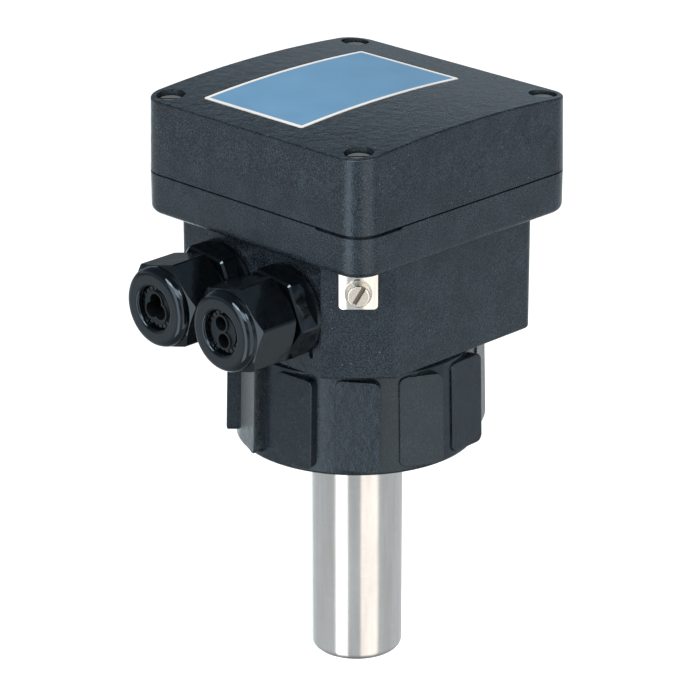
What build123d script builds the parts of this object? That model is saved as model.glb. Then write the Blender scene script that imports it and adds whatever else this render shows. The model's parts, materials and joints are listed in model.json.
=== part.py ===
from build123d import *
import math
import os

# Insertion-type electromagnetic flow meter, in millimetres, +Z up.
# The origin is on the axis of the sensor finger, in the plane of the sealing face that
# seats on the pipe fitting. The finger points to -Z and the cable glands point to -Y.
# The chamfered corner with the earth terminal is the one at +X and -Y.

os.makedirs("parts", exist_ok=True)

# Clearances shared by the pieces
running_gap = 0.08
free_gap = 0.3
press_gap = 0.02

# Stack of heights along the finger's axis
finger_length = 89.4
nut_below_seal = 18.7
nut_height = 32.0
nut_to_box_gap = 0.5
box_height = 36.8
flange_height = 12.8
lid_height = 21.6
crown_rise = 2.2

# Head seen from above
head_width = 89.2
head_corner = 8.0
head_draft = 1.2
flange_draft = 0.4
flange_overhang = 7.95
box_corner = 3.0
box_chamfer = 15.0

# Walls of the head
lid_wall = 3.0
lid_roof = 3.4
base_wall = 3.5
ledge_thickness = 3.3
floor_thickness = 4.5

# Edges of the head
lid_edge_radius = 0.5
flange_edge_radius = 2.4
box_edge_radius = 0.8
seam_height = 0.5
seam_depth = 0.9
pry_height = 1.0
pry_depth = 1.4
pry_reach = 17.0

# Lid screws, their columns and brass inserts
screw_inset = 6.8
screw_radius = 1.95
screw_head_radius = 3.5
screw_head_height = 3.0
screw_head_drop = 0.6
screw_hole_radius = 4.2
screw_reach = 8.6
slot_width = 1.3
slot_depth = 1.5
column_radius = 5.4
insert_radius = 2.9
insert_length = 8.0
insert_pilot_depth = 9.6

# Gasket in the rim of the base
gasket_width = 1.4
gasket_height = 1.4
gasket_edge_offset = 0.6

# Label in its shallow recess in the crowned lid
label_across = 39.9
label_along = 64.6
label_x = -8.1
label_y = -1.8
label_thickness = 0.3
label_corner = 0.8
label_recess_gap = 0.35

# Ribs under the roof of the lid
rib_thickness = 1.8
rib_depth = 3.0
rib_spacing = 26.0

# Neck and sensor collar
neck_radius = 25.0
neck_bore_radius = 20.0
collar_radius = 28.0
collar_thickness = 6.5
seal_ring_radius = 22.5
seal_ring_section = 3.6
seal_groove_depth = 2.7

# Union nut with its raised grip pads
nut_radius = 35.2
nut_draft = 1.4
nut_bore_radius = 29.8
nut_edge_radius = 1.2
pad_count = 12
pad_width = 13.2
pad_below_top = 2.3
pad_above_bottom = 2.0
pad_low_radius = 36.2
pad_high_radius = 39.0
pad_corner_radius = 2.2
pad_edge_radius = 0.3
nut_web_gap = 0.3

# Sensor finger
finger_radius = 13.7
finger_wall = 1.6
finger_tip_wall = 2.6
finger_edge_radius = 2.2
finger_seat_step = 0.5

# Bush welded on the finger's upper end, sealed in the collar and clamped by its head
bush_radius = 15.2
bush_head_radius = 17.4
bush_head_height = 2.5
bush_seal_section = 1.9
bush_seal_height = 9.0

# Ring that clamps the bush's head to the floor of the base
clamp_ring_radius = 25.6
clamp_ring_bore = 11.5
clamp_ring_lip = 2.4
clamp_screw_circle = 22.6
clamp_screw_radius = 1.4
clamp_head_radius = 2.5
clamp_head_height = 1.8
clamp_screw_length = 6.0

# Electrodes and coil at the tip
holder_radius = 9.0
holder_flange_radius = 11.4
holder_flange_height = 2.4
electrode_offset = 5.2
electrode_radius = 1.5
electrode_face_radius = 2.4
electrode_face_height = 1.1
core_radius = 4.0
core_length = 44.0
bobbin_radius = 11.6
bobbin_tube_wall = 1.0
bobbin_flange = 1.6
bobbin_length = 36.0
winding_radius = 10.6

# Cable glands, with heights measured outwards from the face of the lower box
gland_x_rear = -18.5
gland_x_front = 9.0
gland_above_box_bottom = 18.2
gland_flats = 24.0
gland_corner_radius = 13.65
gland_body_turn = -6.0
gland_nut_turn = 12.0
gland_washer_radius = 12.5
gland_washer_height = 1.0
gland_flange_height = 1.2
gland_hex_height = 5.8
gland_hex_chamfer = 0.6
gland_thread_radius = 9.9
gland_thread_length = 12.0
gland_bore_radius = 7.7
gland_neck_radius = 10.2
gland_neck_height = 7.5
gland_boss_wall = 1.8
gland_boss_length = 5.0

# Basket of lamellas that the dome nut closes round the seal
lamella_count = 20
lamella_slot = 0.5
lamella_height = 9.9
lamella_tip_height = 1.4
lamella_tip_radius = 6.2
lamella_wall = 1.1

# Dome nut of a gland
gland_nut_gap = 1.6
gland_nut_height = 17.7
gland_nut_rear_radius = 11.9
gland_nut_rear_chamfer = 1.4
gland_nut_front_chamfer = 0.9
gland_dome_radius = 11.85
gland_dome_height = 3.2
gland_dome_edge = 2.4
gland_throat_radius = 6.5
gland_throat_lip = 1.0
gland_mark_radius = 0.75
gland_mark_depth = 0.3
gland_mark_inset = 1.6

# Rubber seals of the glands
seal_height = 14.0
seal_proud = 0.4
seal_rim_wall = 0.6
seal_rim_height = 0.45
twin_bore_radius = 2.1
twin_bore_offset = 2.5
twin_bore_turn = 12.0
lobe_radius = 2.3
lobe_offset = 1.9

# Blind slot beside the front gland
wall_slot_x = 17.7
wall_slot_above_box_bottom = 7.0
wall_slot_width = 1.6
wall_slot_height = 3.4
wall_slot_depth = 1.2

# Earth terminal on the chamfered corner
earth_below_step = 10.2
earth_plate_width = 11.0
earth_plate_thickness = 1.0
earth_plate_drop = 5.0
earth_plate_top_gap = 1.2
earth_washer_radius = 3.9
earth_washer_height = 0.9
earth_head_radius = 3.25
earth_head_height = 2.6
earth_thread_radius = 1.95
earth_thread_length = 8.5
earth_boss_radius = 4.2
earth_boss_length = 3.0
earth_slot_turn = 30.0

# Circuit board and what is on it
board_side_gap = 2.1
board_thickness = 1.6
board_corner_cut = 14.0
board_notch_width = 26.0
board_notch_depth = 17.0
board_notch_x = -19.0
standoff_height = 3.2
standoff_radius = 2.9
board_screw_radius = 1.3
board_screw_length = 4.5
board_screw_head_radius = 2.5
board_screw_head_height = 1.6
terminal_pitch = 5.0
terminal_depth = 10.0
terminal_height = 12.0
terminal_step = 3.2
terminal_screw_radius = 1.7
terminal_well_depth = 2.4
terminal_entry_width = 3.4
terminal_entry_height = 3.8
terminal_entry_depth = 5.5
supply_poles = 3
output_poles = 5
supply_inset = 17.0
output_inset = 21.0
terminal_row_y = -13.0
converter_size = (22.0, 16.0, 12.0)
converter_inset = (19.0, 21.0)
capacitor_radius = 4.0
capacitor_height = 11.5
capacitor_pitch = 9.5
capacitor_inset = (35.0, 19.0)
chip_width = 10.0
chip_height = 1.5
chip_inset = (17.0, 19.0)
plug_size = (12.0, 6.0, 7.5)
plug_inset = (17.0, 33.0)

# Levels worked out from the stack
nut_low = -nut_below_seal
nut_high = nut_low + nut_height
box_low = nut_high + nut_to_box_gap
step_z = box_low + box_height
seam_z = step_z + flange_height
lid_edge_z = seam_z + lid_height
lid_crest_z = lid_edge_z + crown_rise
floor_z = box_low + floor_thickness
ledge_z = step_z + ledge_thickness
board_low = ledge_z + standoff_height
board_high = board_low + board_thickness
collar_top = collar_thickness
gland_z = box_low + gland_above_box_bottom
tip_z = -finger_length

# Places worked out from the plan
head_half = head_width / 2
box_width = head_width - 2 * flange_overhang
box_half = box_width / 2
screw_half = head_half - screw_inset
lid_top_half = head_half - lid_height * math.tan(math.radians(head_draft))
crown_radius = (lid_top_half ** 2 + crown_rise ** 2) / (2 * crown_rise)
chamfer_distance = (box_width - box_chamfer) / math.sqrt(2)
corner_places = [(x, y) for x in (-screw_half, screw_half) for y in (-screw_half, screw_half)]
board_width = head_width - 2 * (base_wall + board_side_gap)
board_half = board_width / 2
supply_x = supply_inset - board_half
output_x = board_half - output_inset
converter_place = (converter_inset[0] - board_half, board_half - converter_inset[1])
capacitor_place = (board_half - capacitor_inset[0], board_half - capacitor_inset[1])
chip_place = (board_half - chip_inset[0], board_half - chip_inset[1])
plug_place = (board_half - plug_inset[0], board_half - plug_inset[1])

# Heights on a gland, outwards from the face of the lower box
hex_low = gland_washer_height + gland_flange_height
hex_high = hex_low + gland_hex_height
neck_high = hex_high + gland_neck_height
knee_height = neck_high + lamella_height / 5
lamella_high = neck_high + lamella_height
gland_nut_low = hex_high + gland_nut_gap
gland_nut_high = gland_nut_low + gland_nut_height
dome_low = gland_nut_high - gland_dome_height
seal_high = lamella_high + seal_proud
seal_low = seal_high - seal_height


def ring(outer, inner, low, high):
    """A plain ring between two levels."""
    height = high - low
    wall = Cylinder(outer, height) - Cylinder(inner, height + 1)
    return Pos(0, 0, (low + high) / 2) * wall


def rod(radius, low, high):
    """A plain round bar between two levels."""
    return Pos(0, 0, (low + high) / 2) * Cylinder(radius, high - low)


def hexagon_bar(across_flats, corner, low, high):
    """A hexagonal bar whose corners are turned down to a circle."""
    hexagon = RegularPolygon(across_flats / 2, 6, major_radius=False, rotation=0)
    bar = Pos(0, 0, low) * extrude(hexagon, amount=high - low)
    return bar & rod(corner, low, high)


def square_plate(width, corner, low, high, draft=0.0):
    """A square block with rounded corners that narrows upwards by the draft angle."""
    outline = Pos(0, 0, low) * RectangleRounded(width, width, corner)
    return extrude(outline, amount=high - low, taper=draft)


def crown_body(extra=0.0):
    """The space under the barrel-vaulted top of the lid, raised by extra."""
    vault = Cylinder(crown_radius + extra, head_width * 2, rotation=(0, 90, 0))
    return Pos(0, 0, lid_crest_z - crown_radius) * vault


def chamfered_outline(inset):
    """Plan of the lower box with its one chamfered corner, drawn inwards by inset."""
    width = box_width - 2 * inset
    square = RectangleRounded(width, width, max(box_corner - inset, 0.6))
    away = chamfer_distance - inset + box_width / 2
    corner = Pos(away / math.sqrt(2), -away / math.sqrt(2)) * Rectangle(
        box_width, box_width, rotation=45
    )
    return square - corner


def earth_frame(distance):
    """Places a piece on the chamfered corner, with local +Z pointing outwards."""
    out = math.sqrt(0.5)
    origin = (distance * out, -distance * out, step_z - earth_below_step)
    return Plane(origin=origin, x_dir=(out, out, 0), z_dir=(out, -out, 0)).location


def gland_frame(x):
    """Places a gland piece on the face of the lower box, with local +Z pointing outwards."""
    return Pos(x, -box_half, gland_z) * Rot(90, 0, 0)


def slotted_head(radius, height, low, edge=0.5):
    """A cheese head with a rounded top edge and one straight slot."""
    head = rod(radius, low, low + height)
    head = fillet(head.edges().group_by(Axis.Z)[-1], edge)
    slot = Pos(0, 0, low + height - slot_depth / 2) * Box(2.2 * radius, slot_width, slot_depth)
    return head - slot


def make_lid():
    outer = square_plate(head_width, head_corner, seam_z, lid_crest_z + 2, head_draft)
    outer = outer & crown_body()
    outer = fillet(outer.edges().filter_by_position(Axis.Z, lid_edge_z - 2, lid_crest_z + 1), lid_edge_radius)
    inner_width = head_width - 2 * lid_wall
    inner_corner = head_corner - lid_wall
    hollow = square_plate(inner_width, inner_corner, seam_z - 1, lid_edge_z + crown_rise, head_draft)
    hollow = hollow & Pos(0, 0, -lid_roof) * crown_body()
    ribs = Part()
    for x in (-rib_spacing / 2, rib_spacing / 2):
        height = lid_crest_z - lid_edge_z + lid_roof + rib_depth
        ribs += Pos(x, 0, lid_crest_z - height / 2) * Box(rib_thickness, inner_width, height)
    columns = Part()
    for x, y in corner_places:
        columns += Pos(x, y, 0) * rod(column_radius, seam_z, lid_edge_z)
    body = outer - (hollow - ribs - columns)
    head_floor = lid_edge_z - screw_head_drop - screw_head_height
    for x, y in corner_places:
        body -= Pos(x, y, 0) * rod(screw_hole_radius, head_floor, lid_crest_z + 1)
        body -= Pos(x, y, 0) * rod(screw_radius + running_gap, seam_z - 1, lid_crest_z)
    recess = label_blank(label_recess_gap, 1.0)
    return body - recess


def label_blank(margin, above):
    """The curved sheet of the label, grown sideways by margin and upwards by above."""
    outline = RectangleRounded(label_across + 2 * margin, label_along + 2 * margin, label_corner + margin)
    block = Pos(label_x, label_y, lid_edge_z - crown_rise) * extrude(outline, amount=4 * crown_rise)
    return (block & crown_body(above)) - crown_body(-label_thickness)


def make_lid_screw(x, y):
    head_low = lid_edge_z - screw_head_drop - screw_head_height
    head = slotted_head(screw_head_radius, screw_head_height, head_low)
    shank = rod(screw_radius, seam_z - screw_reach, head_low)
    shank = chamfer(shank.edges().group_by(Axis.Z)[0], screw_radius / 4)
    return Pos(x, y, 0) * Rot(0, 0, 45) * (head + shank)


def make_inserts():
    bush = ring(insert_radius, screw_radius + running_gap, seam_z - insert_length - 0.2, seam_z - 0.2)
    waist = ring(insert_radius + 1, insert_radius - 0.4, seam_z - 0.6 * insert_length, seam_z - 0.5 * insert_length)
    return [Pos(x, y, 0) * (bush - waist) for x, y in corner_places]


def make_gasket():
    outer = head_width - 2 * gasket_edge_offset - 2 * seam_depth
    inner = outer - 2 * gasket_width
    corner = head_corner - gasket_edge_offset - seam_depth
    frame = square_plate(outer, corner, seam_z - gasket_height, seam_z)
    return frame - square_plate(inner, corner - gasket_width, seam_z - 2 * gasket_height, seam_z + 1)


def make_base():
    rim = Pos(0, 0, seam_z) * RectangleRounded(head_width, head_width, head_corner)
    tray = extrude(rim, amount=-flange_height, taper=flange_draft)
    tray = fillet(tray.edges().group_by(Axis.Z)[0], flange_edge_radius)
    lower = Pos(0, 0, box_low) * extrude(chamfered_outline(0), amount=box_height + ledge_thickness)
    lower = fillet(lower.edges().group_by(Axis.Z)[0], box_edge_radius)
    neck = rod(neck_radius, collar_top, floor_z)
    body = tray + lower + neck

    tray_hollow = square_plate(head_width - 2 * base_wall, head_corner - base_wall, ledge_z, seam_z + 1)
    for x, y in corner_places:
        tray_hollow -= Pos(x, y, 0) * rod(column_radius, ledge_z, seam_z + 1)
    for x, y in standoff_places():
        tray_hollow -= Pos(x, y, 0) * rod(standoff_radius, ledge_z, board_low)
    box_hollow = Pos(0, 0, floor_z) * extrude(chamfered_outline(base_wall), amount=seam_z - floor_z)
    for x, y in standoff_places():
        box_hollow -= Pos(x, y, 0) * rod(standoff_radius, ledge_z - 2 * standoff_radius, board_low)
    boss_start = chamfer_distance - base_wall - earth_boss_length
    box_hollow -= earth_frame(boss_start) * rod(earth_boss_radius, 0, earth_boss_length + base_wall)
    for x in (gland_x_rear, gland_x_front):
        boss = rod(gland_thread_radius + gland_boss_wall, -base_wall - gland_boss_length, 0)
        box_hollow -= gland_frame(x) * boss
    body = body - tray_hollow - box_hollow
    body -= rod(neck_bore_radius, 0, floor_z + 1)

    for x, y in corner_places:
        body -= Pos(x, y, 0) * rod(insert_radius + press_gap, seam_z - insert_pilot_depth, seam_z + 1)
    for x, y in standoff_places():
        pilot = rod(board_screw_radius + press_gap, board_low - board_screw_length, board_low + 1)
        body -= Pos(x, y, 0) * pilot
    for x, y in clamp_places():
        pilot_low = floor_z - floor_thickness * 0.8
        body -= Pos(x, y, 0) * rod(clamp_screw_radius + press_gap, pilot_low, floor_z + 1)
    for x in (gland_x_rear, gland_x_front):
        body -= gland_frame(x) * rod(gland_thread_radius + running_gap, -base_wall - gland_boss_length - 1, 1)
    body -= earth_frame(boss_start) * rod(
        earth_thread_radius + running_gap, -1, earth_boss_length + base_wall + 1
    )
    slot = Plane.XZ * SlotOverall(wall_slot_height, wall_slot_width, rotation=90)
    slot_z = box_low + wall_slot_above_box_bottom
    body -= Pos(wall_slot_x, -box_half, slot_z) * extrude(slot, amount=wall_slot_depth, both=True)
    body -= make_seam()
    return body - make_gasket()


def make_seam():
    """The shadow line under the lid, opened wider at one corner for a lever."""
    seam = square_plate(head_width + 2, head_corner + 1, seam_z - seam_height, seam_z + 1)
    core = head_width - 2 * seam_depth
    seam -= square_plate(core, head_corner - seam_depth, seam_z - pry_height - 1, seam_z + 2)
    lever = square_plate(head_width + 2, head_corner + 1, seam_z - pry_height, seam_z + 1)
    lever_core = head_width - 2 * pry_depth
    lever -= square_plate(lever_core, head_corner - pry_depth, seam_z - pry_height - 1, seam_z + 2)
    reach = Pos(head_half - pry_reach / 2 + 1, -head_half + pry_reach / 2 - 1, seam_z)
    lever = lever & reach * Box(pry_reach + 2, pry_reach + 2, 2 * pry_height + 2)
    for x, y in corner_places:
        lever -= Pos(x, y, 0) * rod(insert_radius + 1.2, seam_z - 2 * pry_height, seam_z + 2)
    return seam + lever


def standoff_places():
    return [(box_half, 0), (-box_half, 0), (0, box_half), (0, -box_half)]


def clamp_places():
    angles = [math.radians(a) for a in (45, 135, 225, 315)]
    return [(clamp_screw_circle * math.cos(a), clamp_screw_circle * math.sin(a)) for a in angles]


def make_collar():
    disc = rod(collar_radius, 0, collar_thickness)
    disc = chamfer(disc.edges().group_by(Axis.Z)[0], 0.8)
    spigot = rod(neck_bore_radius - running_gap, collar_thickness, floor_z)
    groove_half = seal_ring_section / 2 + press_gap
    groove = ring(seal_ring_radius + groove_half, seal_ring_radius - groove_half, -1, seal_groove_depth)
    bore = rod(bush_radius + running_gap, -1, floor_z + 1)
    return disc + spigot - groove - bore


def make_seal_ring():
    section = seal_ring_section / 2
    return Pos(0, 0, seal_groove_depth - section) * Torus(seal_ring_radius, section)


def make_union_nut():
    foot_radius = nut_radius + nut_height * math.tan(math.radians(nut_draft))
    shell = Pos(0, 0, (nut_low + nut_high) / 2) * Cone(foot_radius, nut_radius, nut_height)
    shell = fillet(shell.edges().group_by(Axis.Z)[0], nut_edge_radius)
    shell = chamfer(shell.edges().group_by(Axis.Z)[-1], nut_edge_radius)
    bore = rod(nut_bore_radius, nut_low - 1, collar_top + nut_web_gap)
    eye = rod(neck_radius + free_gap, 0, nut_high + 1)
    shell = shell - bore - eye
    mouth = shell.edges().filter_by(GeomType.CIRCLE).group_by(Axis.Z)[0].sort_by(SortBy.RADIUS)[0]
    shell = chamfer(mouth, nut_edge_radius)
    pad = make_pad()
    pitch = 360 / pad_count
    for index in range(pad_count):
        shell += Rot(0, 0, index * pitch + pitch / 2) * pad
    return shell


def make_pad():
    """One grip pad on +X: its face leans out towards one edge and towards the foot."""
    low = nut_low + pad_above_bottom
    high = nut_high - pad_below_top
    middle = (low + high) / 2
    root = nut_radius * 0.93
    outline = RectangleRounded(pad_width, high - low, pad_corner_radius)
    plate = Plane(origin=(root, 0, middle), x_dir=(0, 1, 0), z_dir=(1, 0, 0)) * outline
    plate = extrude(plate, amount=pad_high_radius - root + 1)
    half = pad_width / 2
    low_x = math.sqrt(pad_low_radius ** 2 - half ** 2)
    high_x = math.sqrt(pad_high_radius ** 2 - half ** 2)
    lean = math.degrees(math.atan2(high_x - low_x, pad_width))
    block = Box(pad_width, 4 * pad_width, 2 * (high - low), align=(Align.MIN, Align.CENTER, Align.CENTER))
    plate -= Pos((low_x + high_x) / 2, 0, middle) * Rot(0, 0, -lean) * Rot(0, -nut_draft, 0) * block
    face = plate.faces().sort_by(Axis.X)[-1]
    return fillet(face.edges(), pad_edge_radius)


def make_finger():
    """The closed tube, turned down by a step where the bush sits on it."""
    outer = rod(finger_radius, tip_z, 0)
    outer = fillet(outer.edges().group_by(Axis.Z)[0], finger_edge_radius)
    seat = rod(finger_radius - finger_seat_step, 0, floor_z + bush_head_height)
    inside = rod(finger_radius - finger_wall, tip_z + finger_tip_wall, floor_z + bush_head_height + 1)
    eye = rod(holder_radius + press_gap, tip_z - 1, tip_z + finger_tip_wall + 1)
    return outer + seat - inside - eye


def make_bush():
    bore = finger_radius - finger_seat_step + press_gap
    body = ring(bush_radius, bore, 0, floor_z)
    body += ring(bush_head_radius, bore, floor_z, floor_z + bush_head_height)
    half = bush_seal_section / 2
    groove_floor = bush_radius + running_gap - bush_seal_section
    return body - ring(bush_radius + 1, groove_floor, bush_seal_height - half, bush_seal_height + half)


def make_bush_seal():
    section = bush_seal_section / 2
    return Pos(0, 0, bush_seal_height) * Torus(bush_radius + running_gap - section, section)


def make_clamp_ring():
    low = floor_z
    lip = low + bush_head_height
    body = ring(clamp_ring_radius, clamp_ring_bore, low, lip + clamp_ring_lip)
    body -= rod(bush_head_radius + running_gap, low - 1, lip)
    for x, y in clamp_places():
        body -= Pos(x, y, 0) * rod(clamp_screw_radius + running_gap, low - 1, lip + clamp_ring_lip + 1)
    return body


def make_clamp_screws():
    low = floor_z + bush_head_height + clamp_ring_lip
    head = slotted_head(clamp_head_radius, clamp_head_height, low, 0.3)
    shank = rod(clamp_screw_radius, low - clamp_screw_length, low)
    return [Pos(x, y, 0) * (head + shank) for x, y in clamp_places()]


def make_holder():
    plug = rod(holder_radius, tip_z, tip_z + finger_tip_wall)
    flange_high = tip_z + finger_tip_wall + holder_flange_height
    flange = rod(holder_flange_radius, tip_z + finger_tip_wall, flange_high)
    body = plug + flange
    for x in (-electrode_offset, electrode_offset):
        body -= Pos(x, 0, 0) * rod(electrode_radius + press_gap, tip_z - 1, flange_high + 1)
        body -= Pos(x, 0, 0) * rod(electrode_face_radius + press_gap, tip_z - 1, tip_z + electrode_face_height)
    return body


def make_electrode(x):
    high = tip_z + finger_tip_wall + holder_flange_height
    face = rod(electrode_face_radius, tip_z, tip_z + electrode_face_height)
    stud = rod(electrode_radius, tip_z + electrode_face_height, high)
    return Pos(x, 0, 0) * (face + stud)


def make_core():
    low = tip_z + finger_tip_wall + holder_flange_height
    return rod(core_radius, low, low + core_length)


def make_bobbin():
    low = tip_z + finger_tip_wall + holder_flange_height
    high = low + bobbin_length
    tube_radius = core_radius + running_gap + bobbin_tube_wall
    body = rod(tube_radius, low, high)
    body += rod(bobbin_radius, low, low + bobbin_flange)
    body += rod(bobbin_radius, high - bobbin_flange, high)
    return body - rod(core_radius + running_gap, low - 1, high + 1)


def make_winding():
    low = tip_z + finger_tip_wall + holder_flange_height + bobbin_flange
    high = low + bobbin_length - 2 * bobbin_flange
    return ring(winding_radius, core_radius + running_gap + bobbin_tube_wall, low, high)


def make_gland_washer(x):
    return gland_frame(x) * ring(gland_washer_radius, gland_thread_radius + running_gap, 0, gland_washer_height)


def gland_profile(points):
    """A turned solid about the gland's axis from points of radius and height."""
    outline = Plane.XZ * make_face(Polyline(*points, close=True))
    return revolve(outline, Axis.Z)


def make_gland_body(x):
    bar = hexagon_bar(gland_flats, gland_corner_radius, hex_low, hex_high)
    front = bar.edges().group_by(Axis.Z)[-1]
    body = Rot(0, 0, gland_body_turn) * chamfer(front, gland_hex_chamfer)
    thread_low = gland_washer_height - gland_thread_length
    body += rod(gland_corner_radius, gland_washer_height, hex_low)
    body += rod(gland_thread_radius, thread_low, gland_washer_height)
    body += gland_profile([
        (0, hex_high),
        (gland_neck_radius, hex_high),
        (gland_neck_radius, neck_high),
        (lamella_tip_radius, lamella_high - lamella_tip_height),
        (lamella_tip_radius, lamella_high),
        (0, lamella_high),
    ])
    tip_bore = lamella_tip_radius - lamella_wall
    body -= gland_profile([
        (0, thread_low - 1),
        (gland_bore_radius, thread_low - 1),
        (gland_bore_radius, knee_height),
        (tip_bore, lamella_high),
        (tip_bore, lamella_high + 1),
        (0, lamella_high + 1),
    ])
    cut_low = neck_high + lamella_wall
    slot = Pos(gland_neck_radius / 2, 0, cut_low + lamella_height / 2) * Box(
        gland_neck_radius, lamella_slot, lamella_height
    )
    for index in range(lamella_count):
        body -= Rot(0, 0, index * 360 / lamella_count) * slot
    return gland_frame(x) * body


def make_gland_seal(x, holes):
    """A rubber plug with a raised rim round its holes."""
    bore = gland_bore_radius - running_gap
    tip = lamella_tip_radius - lamella_wall - running_gap
    body = gland_profile([
        (0, seal_low),
        (bore, seal_low),
        (bore, knee_height),
        (tip, lamella_high),
        (tip, seal_high),
        (0, seal_high),
    ])
    rim_low = lamella_high + seal_proud / 2
    rim_high = seal_high + seal_rim_height
    for place, radius in holes:
        body += Pos(place[0], place[1], 0) * rod(radius + seal_rim_wall, rim_low, rim_high)
    for place, radius in holes:
        body -= Pos(place[0], place[1], 0) * rod(radius, seal_low - 1, rim_high + 1)
    return gland_frame(x) * body


def make_gland_nut(x):
    bar = hexagon_bar(gland_flats, gland_corner_radius, gland_nut_low, dome_low)
    envelope = gland_profile([
        (0, gland_nut_low),
        (gland_nut_rear_radius, gland_nut_low),
        (gland_corner_radius + 1, gland_nut_low + gland_nut_rear_chamfer),
        (gland_corner_radius + 1, dome_low - gland_nut_front_chamfer - 0.5),
        (gland_dome_radius, dome_low),
        (0, dome_low),
    ])
    dome = ring(gland_dome_radius, gland_throat_radius, lamella_high - lamella_tip_height, gland_nut_high)
    rims = dome.edges().group_by(Axis.Z)[-1].sort_by(SortBy.RADIUS)
    dome = fillet(rims[-1], gland_dome_edge)
    rims = dome.edges().group_by(Axis.Z)[-1].sort_by(SortBy.RADIUS)
    dome = fillet(rims[0], gland_throat_lip)
    bore = gland_neck_radius + running_gap
    inside = gland_profile([
        (0, gland_nut_low - 1),
        (bore, gland_nut_low - 1),
        (bore, neck_high + free_gap),
        (gland_throat_radius, lamella_high - lamella_tip_height + free_gap),
        (gland_throat_radius, gland_nut_high),
        (0, gland_nut_high),
    ])
    body = (bar & envelope) + dome - inside
    return gland_frame(x) * Rot(0, 0, gland_nut_turn) * (body - flat_mark())


def flat_mark():
    """The small round dimple near the front corner of one flat."""
    side = gland_flats / 2
    along = dome_low - 2 * gland_mark_inset
    across = gland_mark_inset - side * math.tan(math.radians(30))
    pin = Cylinder(gland_mark_radius, 2 * gland_mark_depth, rotation=(0, 90, 0))
    return Rot(0, 0, 30) * Pos(side, across, along) * pin


def make_earth_plate():
    top = earth_below_step - earth_plate_top_gap
    height = top + earth_plate_drop
    outline = Pos(0, (top - earth_plate_drop) / 2) * Rectangle(earth_plate_width, height)
    plate = extrude(outline, amount=earth_plate_thickness)
    corners = plate.edges().filter_by(Axis.Z).group_by(Axis.Y)[0]
    plate = fillet(corners, 1.2)
    return earth_frame(chamfer_distance) * (plate - rod(earth_thread_radius + free_gap, -1, 3))


def make_earth_washer():
    low = earth_plate_thickness
    return earth_frame(chamfer_distance) * ring(
        earth_washer_radius, earth_thread_radius + running_gap, low, low + earth_washer_height
    )


def make_earth_screw():
    low = earth_plate_thickness + earth_washer_height
    head = slotted_head(earth_head_radius, earth_head_height, low)
    shank = rod(earth_thread_radius, low - earth_thread_length, low)
    return earth_frame(chamfer_distance) * Rot(0, 0, 90 - earth_slot_turn) * (head + shank)


def make_board():
    outline = Rectangle(board_width, board_width)
    for x in (-1, 1):
        for y in (-1, 1):
            outline -= Pos(x * board_width / 2, y * board_width / 2) * Rectangle(
                2 * board_corner_cut, 2 * board_corner_cut
            )
    outline -= Pos(board_notch_x, -board_width / 2) * Rectangle(board_notch_width, 2 * board_notch_depth)
    board = Pos(0, 0, board_low) * extrude(outline, amount=board_thickness)
    for x, y in standoff_places():
        board -= Pos(x, y, 0) * rod(board_screw_radius + free_gap, board_low - 1, board_high + 1)
    return board


def make_board_screws():
    head = slotted_head(board_screw_head_radius, board_screw_head_height, board_high, 0.3)
    shank = rod(board_screw_radius, board_high - board_screw_length, board_high)
    return [Pos(x, y, 0) * (head + shank) for x, y in standoff_places()]


def terminal_places(center_x, poles):
    first = center_x - (poles - 1) * terminal_pitch / 2
    return [first + index * terminal_pitch for index in range(poles)]


def make_terminal(center_x, poles):
    """A row of clamps: stepped body, square wire entries towards -Y and screw wells on top."""
    half = terminal_depth / 2
    low_front = terminal_height - terminal_step
    side = Polyline(
        (-half, 0), (half, 0), (half, terminal_height), (-half + 2 * terminal_step, terminal_height),
        (-half, low_front), close=True,
    )
    width = poles * terminal_pitch
    body = extrude(Plane.YZ * make_face(side), amount=width / 2, both=True)
    body = Pos(center_x, terminal_row_y, board_high) * body
    for x in terminal_places(center_x, poles):
        entry = Box(terminal_entry_width, 2 * terminal_entry_depth, terminal_entry_height)
        entry_z = board_high + 0.25 * terminal_height + terminal_entry_height / 4
        body -= Pos(x, terminal_row_y - half, entry_z) * entry
        well_low = board_high + terminal_height - terminal_well_depth
        body -= Pos(x, terminal_row_y + half / 2, 0) * rod(
            terminal_screw_radius + running_gap, well_low, well_low + 2 * terminal_well_depth
        )
    return body


def make_terminal_screws():
    low = board_high + terminal_height - terminal_well_depth
    head = rod(terminal_screw_radius, low, low + terminal_well_depth / 2)
    head -= Pos(0, 0, low + terminal_well_depth / 2) * Box(4, slot_width / 2, slot_width / 2)
    places = terminal_places(supply_x, supply_poles) + terminal_places(output_x, output_poles)
    return [Pos(x, terminal_row_y + terminal_depth / 4, 0) * head for x in places]


def on_board(size, place, edge):
    """A moulded component standing on the board."""
    block = Box(*size, align=(Align.CENTER, Align.CENTER, Align.MIN))
    block = fillet(block.edges().group_by(Axis.Z)[-1], edge)
    return Pos(place[0], place[1], board_high) * block


def make_capacitors():
    can = rod(capacitor_radius, board_high, board_high + capacitor_height)
    can = fillet(can.edges().group_by(Axis.Z)[-1], 0.6)
    x, y = capacitor_place
    return [Pos(x, y - capacitor_pitch / 2, 0) * can, Pos(x, y + capacitor_pitch / 2, 0) * can]


def make_plug():
    width, depth, height = plug_size
    body = on_board(plug_size, plug_place, 0.4)
    x, y = plug_place
    well = Pos(x, y, board_high + height) * Box(width - 2, depth - 2, height)
    return body - well


def holes_at(turns, offset, radius):
    """Round holes at the given angles about a gland's axis."""
    angles = [math.radians(turn) for turn in turns]
    return [((offset * math.cos(angle), offset * math.sin(angle)), radius) for angle in angles]


twin_holes = holes_at((90 + twin_bore_turn, 270 + twin_bore_turn), twin_bore_offset, twin_bore_radius)
lobed_holes = holes_at((90, 210, 330), lobe_offset, lobe_radius)

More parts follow.
